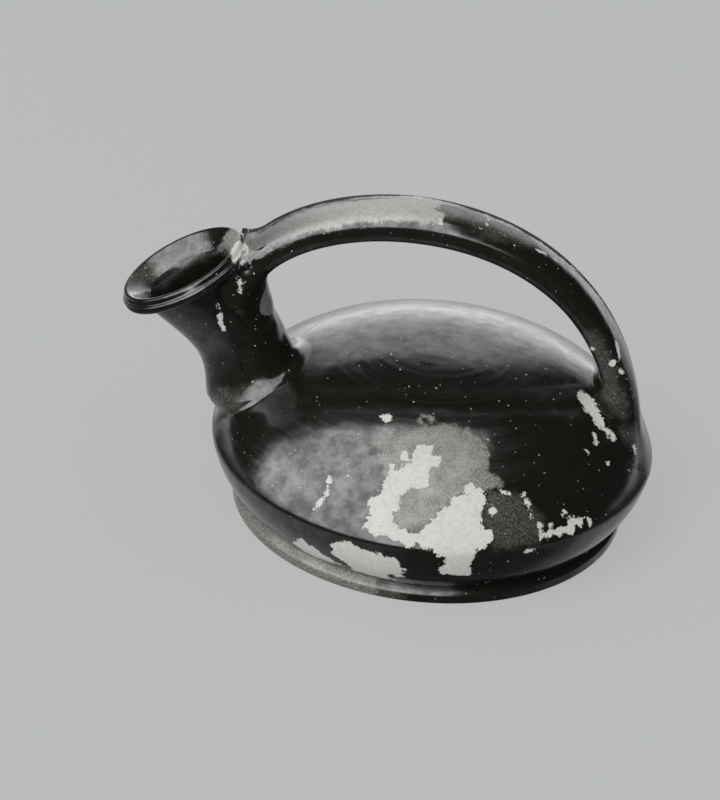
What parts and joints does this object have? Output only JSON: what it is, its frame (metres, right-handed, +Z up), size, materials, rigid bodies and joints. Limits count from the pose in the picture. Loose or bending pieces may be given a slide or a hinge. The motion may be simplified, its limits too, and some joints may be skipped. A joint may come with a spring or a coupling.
{
  "type": "spouted jug",
  "caption": "Low lentil-shaped oil jug of black-gloss pottery with a leaning trumpet spout and a strap handle over the body.",
  "frame": {"origin": "middle of the flat underside of the base disc", "axes": "+Z up, the spout leans towards -X, and spout and handle lie in the plane Y = 0"},
  "size_m": [0.121, 0.1, 0.0732],
  "materials": {
    "black_gloss": "glossy black slip on fired clay, worn and flaked in patches",
    "bare_clay": "matte unglazed fired clay"
  },
  "bodies": {
    "root": {"base_disc": "black_gloss", "lower_bowl": "black_gloss", "upper_dome": "black_gloss", "seam_coil": "bare_clay", "mouth_rim": "black_gloss", "spout_neck": "black_gloss", "spout_collar": "black_gloss", "handle_pad_mouth": "black_gloss", "handle_strap": "black_gloss", "handle_pad_shoulder": "black_gloss"}
  },
  "joints": []
}
